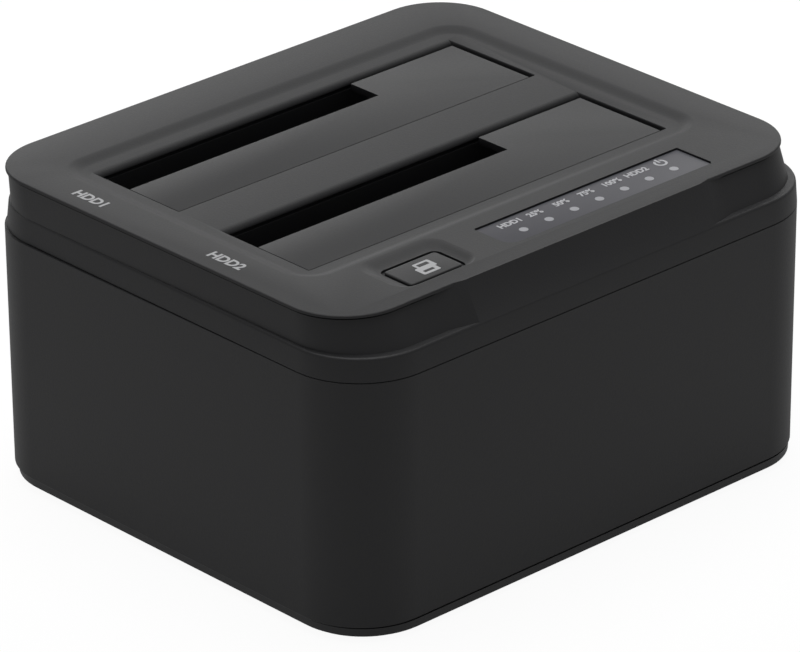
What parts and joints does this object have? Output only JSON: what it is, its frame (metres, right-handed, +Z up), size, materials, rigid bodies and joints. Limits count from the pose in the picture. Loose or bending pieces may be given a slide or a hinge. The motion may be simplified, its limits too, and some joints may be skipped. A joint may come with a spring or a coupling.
{
  "type": "drive duplicator",
  "caption": "Two-bay hard-drive dock and offline duplicator with sprung flap doors, clone button, progress lights, USB, DC inlet and power switch.",
  "frame": {"origin": "centre of the footprint, on the surface the rubber feet stand on", "axes": "+X along the drive slots, +Y to the rear with its sockets, +Z up"},
  "size_m": [0.138, 0.121, 0.073],
  "materials": {
    "case_plastic": "fine matte texture",
    "base_plastic": "matte",
    "foot_rubber": "matte",
    "screw_steel": "zinc plated",
    "well_plastic": "matte",
    "flap_plastic": "fine matte texture",
    "pin_steel": "bright",
    "connector_plastic": "smooth",
    "contact_metal": "gold plated",
    "board_laminate": "solder mask",
    "chip_plastic": "matte",
    "shell_steel": "nickel plated",
    "can_aluminium": "satin",
    "usb_plastic": "smooth",
    "switch_plastic": "smooth",
    "lead_insulation": "smooth",
    "button_plastic": "fine matte texture",
    "window_plastic": "satin",
    "pipe_plastic": "clear",
    "led_package": "smooth",
    "ribbon_insulation": "smooth",
    "header_plastic": "smooth"
  },
  "bodies": {
    "case": {"top_cover": "case_plastic", "housing": "case_plastic", "base_plate": "base_plastic", "rubber_feet": "foot_rubber", "case_screws": "screw_steel", "well_screws_1": "screw_steel", "well_screws_2": "screw_steel", "board_screws": "screw_steel", "panel_screws": "screw_steel", "case_pillars": "base_plastic", "drive_well_1": "well_plastic", "drive_well_2": "well_plastic", "flap_pin_1": "pin_steel", "flap_pin_2": "pin_steel", "sata_receptacle_1": "connector_plastic", "sata_receptacle_2": "connector_plastic", "sata_contacts_1": "contact_metal", "sata_contacts_2": "contact_metal", "main_board": "board_laminate", "indicator_board": "board_laminate", "bridge_chip": "chip_plastic", "flash_chip": "chip_plastic", "crystal": "shell_steel", "capacitors": "can_aluminium", "inductors": "chip_plastic", "usb_shell": "shell_steel", "usb_insert": "usb_plastic", "dc_jack_body": "connector_plastic", "dc_jack_pin": "contact_metal", "switch_frame": "switch_plastic", "switch_terminals": "contact_metal", "switch_leads": "lead_insulation", "tact_switch": "connector_plastic", "led_window": "window_plastic", "light_pipes": "pipe_plastic", "led_chips": "led_package", "signal_ribbon": "ribbon_insulation", "ribbon_headers": "header_plastic"},
    "flap_1": {"flap_1": "flap_plastic", "flap_spring_1": "pin_steel"},
    "flap_2": {"flap_2": "flap_plastic", "flap_spring_2": "pin_steel"},
    "clone_button": {"clone_button": "button_plastic", "tact_plunger": "connector_plastic"},
    "power_rocker": {"power_rocker": "switch_plastic"}
  },
  "joints": [
    {"name": "flap_1_hinge", "type": "hinge", "parent": "case", "child": "flap_1", "pos_m": [-0.0008, 0.007, 0.0681], "axis": [-1, 0, 0], "range_deg": [0, 90], "stiffness_Nm_per_rad": 0.004, "springref_deg": -34.38},
    {"name": "flap_2_hinge", "type": "hinge", "parent": "case", "child": "flap_2", "pos_m": [-0.0008, -0.0334, 0.0681], "axis": [-1, 0, 0], "range_deg": [0, 90], "stiffness_Nm_per_rad": 0.004, "springref_deg": -34.38},
    {"name": "clone_button_slide", "type": "slide", "parent": "case", "child": "clone_button", "axis": [0, 0, -1], "range_m": [0, 0.0005], "stiffness_N_per_m": 2000, "springref_m": -0.0004},
    {"name": "power_rocker_hinge", "type": "hinge", "parent": "case", "child": "power_rocker", "pos_m": [-0.018, 0.0572, 0.0192], "axis": [0, 0, 1], "range_deg": [0, 20]}
  ]
}
